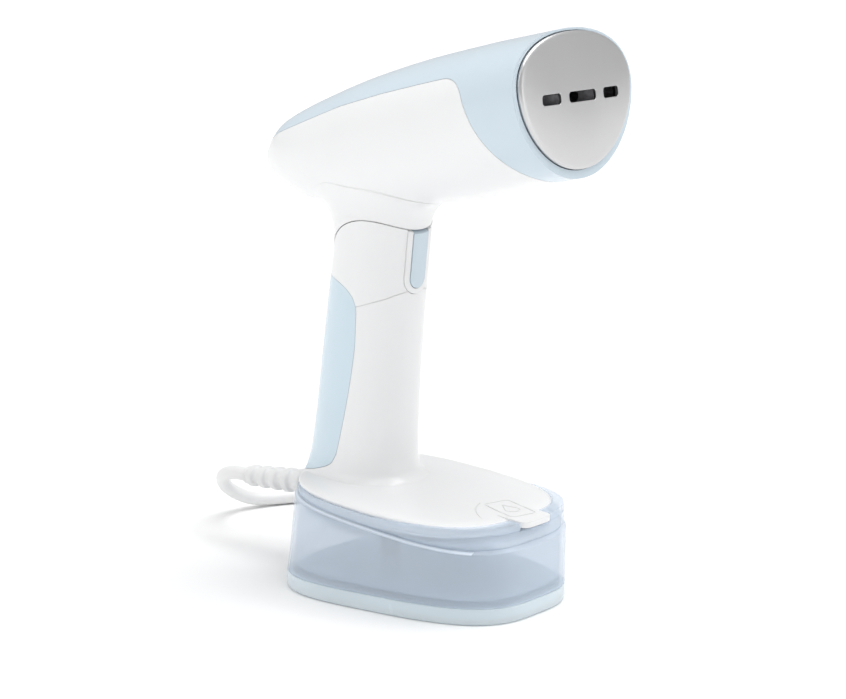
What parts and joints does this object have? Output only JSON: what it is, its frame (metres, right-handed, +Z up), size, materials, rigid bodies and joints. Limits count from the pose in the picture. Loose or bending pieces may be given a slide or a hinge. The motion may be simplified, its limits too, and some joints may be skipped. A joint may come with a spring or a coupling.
{
  "type": "garment steamer",
  "caption": "Hand-held garment steamer with a folding steam head, a steel steam plate, a trigger handle and a clear water tank that is also its stand, with its mains lead.",
  "frame": {"origin": "on the floor, under the flat bottom of the water tank, 5.2 mm behind the middle of that bottom", "axes": "+X towards the steam plate, +Z up, +Y to the left of the steam plate seen from behind"},
  "size_m": [0.2491, 0.1889, 0.2673],
  "materials": {
    "white_plastic": "satin moulded white",
    "blue_plastic": "light blue, slightly milky",
    "clear_tank": "tinted clear polycarbonate",
    "white_flex": "matt white flexible",
    "cord_sheath": "white sheath",
    "soft_rubber": "silicone",
    "grey_plastic": "moulded grey",
    "black_plastic": "moulded black",
    "green_board": "solder resist",
    "copper_coil": "enamelled wire",
    "brass_metal": "plain",
    "cast_alloy": "as cast",
    "steel_plate": "fine satin",
    "steel_metal": "plain"
  },
  "bodies": {
    "tank": {"tank_shell": "clear_tank", "tank_lid": "clear_tank", "tank_base": "blue_plastic", "tank_seal": "soft_rubber", "cord_lead": "cord_sheath", "cord_coil": "cord_sheath", "cord_tie": "soft_rubber", "plug_body": "cord_sheath", "plug_pin_left": "brass_metal", "plug_pin_right": "brass_metal"},
    "handset": {"handset_shell": "white_plastic", "rear_cover": "blue_plastic", "trigger_bezel": "white_plastic", "trigger_pin": "steel_metal", "trigger_spring": "steel_metal", "micro_switch": "black_plastic", "bottom_plate": "grey_plastic", "base_screw_1": "steel_metal", "base_screw_2": "steel_metal", "base_screw_3": "steel_metal", "base_screw_4": "steel_metal", "suction_tube": "soft_rubber", "suction_filter": "grey_plastic", "pump": "black_plastic", "pump_coil": "copper_coil", "pump_outlet": "grey_plastic", "pump_mount": "soft_rubber", "pump_inlet": "grey_plastic", "inlet_hose": "soft_rubber", "outlet_hose": "soft_rubber", "circuit_board": "green_board", "terminal_block": "grey_plastic", "strain_relief": "white_flex", "cord_clamp": "grey_plastic", "fold_axle": "steel_metal", "axle_bush_left": "brass_metal", "friction_washer_left": "grey_plastic", "axle_bush_right": "brass_metal", "friction_washer_right": "grey_plastic"},
    "head": {"hinge_arm": "cast_alloy", "head_casing": "white_plastic", "head_cover": "blue_plastic", "steam_plate": "steel_plate", "plate_gasket": "soft_rubber", "heater_block": "cast_alloy", "heating_element": "steel_metal", "chamber_cover": "cast_alloy", "thermostat": "black_plastic", "thermal_fuse": "grey_plastic", "inlet_nozzle": "brass_metal", "feed_hose": "soft_rubber", "heat_shield": "steel_metal", "chamber_screw_1": "steel_metal", "chamber_screw_2": "steel_metal", "chamber_screw_3": "steel_metal", "chamber_screw_4": "steel_metal"},
    "trigger": {"trigger": "blue_plastic"}
  },
  "joints": [
    {"name": "handset_lift", "type": "slide", "parent": "tank", "child": "handset", "axis": [0, 0, 1], "range_m": [0, 0.065]},
    {"name": "head_fold", "type": "hinge", "parent": "handset", "child": "head", "pos_m": [-0.0188, 0, 0.144], "axis": [0, 1, 0], "range_deg": [0, 70]},
    {"name": "trigger_press", "type": "hinge", "parent": "handset", "child": "trigger", "pos_m": [-0.0056, 0, 0.166], "axis": [0, 1, 0], "range_deg": [0, 5.5], "stiffness_Nm_per_rad": 0.5, "springref_deg": -5.73}
  ]
}
